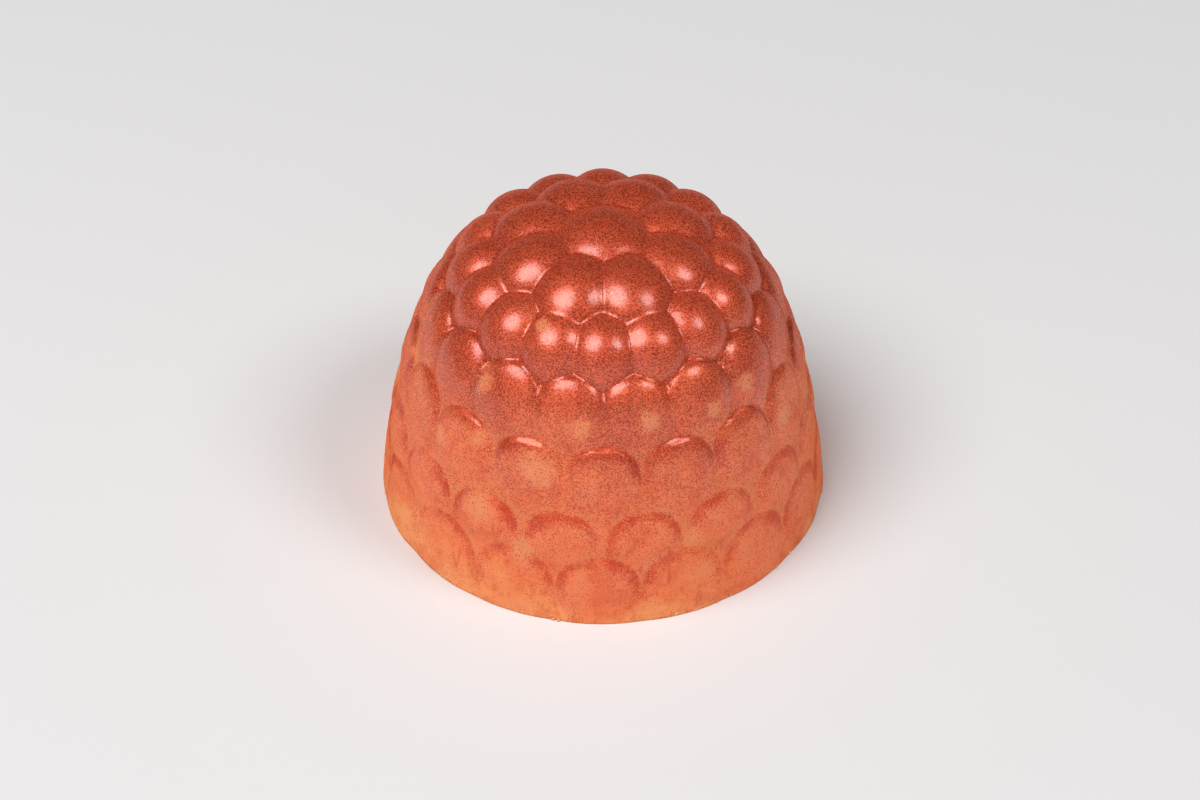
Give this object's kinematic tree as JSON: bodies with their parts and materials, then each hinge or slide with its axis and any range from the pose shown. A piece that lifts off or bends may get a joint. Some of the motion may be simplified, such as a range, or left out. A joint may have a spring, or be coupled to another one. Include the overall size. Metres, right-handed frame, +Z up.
{
  "type": "chocolate praline",
  "caption": "Moulded chocolate praline shaped like a berry: a domed body covered in rows of rounded drupelets, with a flat foot",
  "frame": {"origin": "centre of the flat foot, on the surface that the praline rests on", "axes": "+Z up through the crown; -Y is the front, where one ball of the third row from the crown faces forward"},
  "size_m": [0.028, 0.028, 0.0204],
  "materials": {
    "pearl_shell": "orange-red chocolate with a copper-red pearl spray, soft gloss"
  },
  "bodies": {
    "root": {"praline": "pearl_shell"}
  },
  "joints": []
}
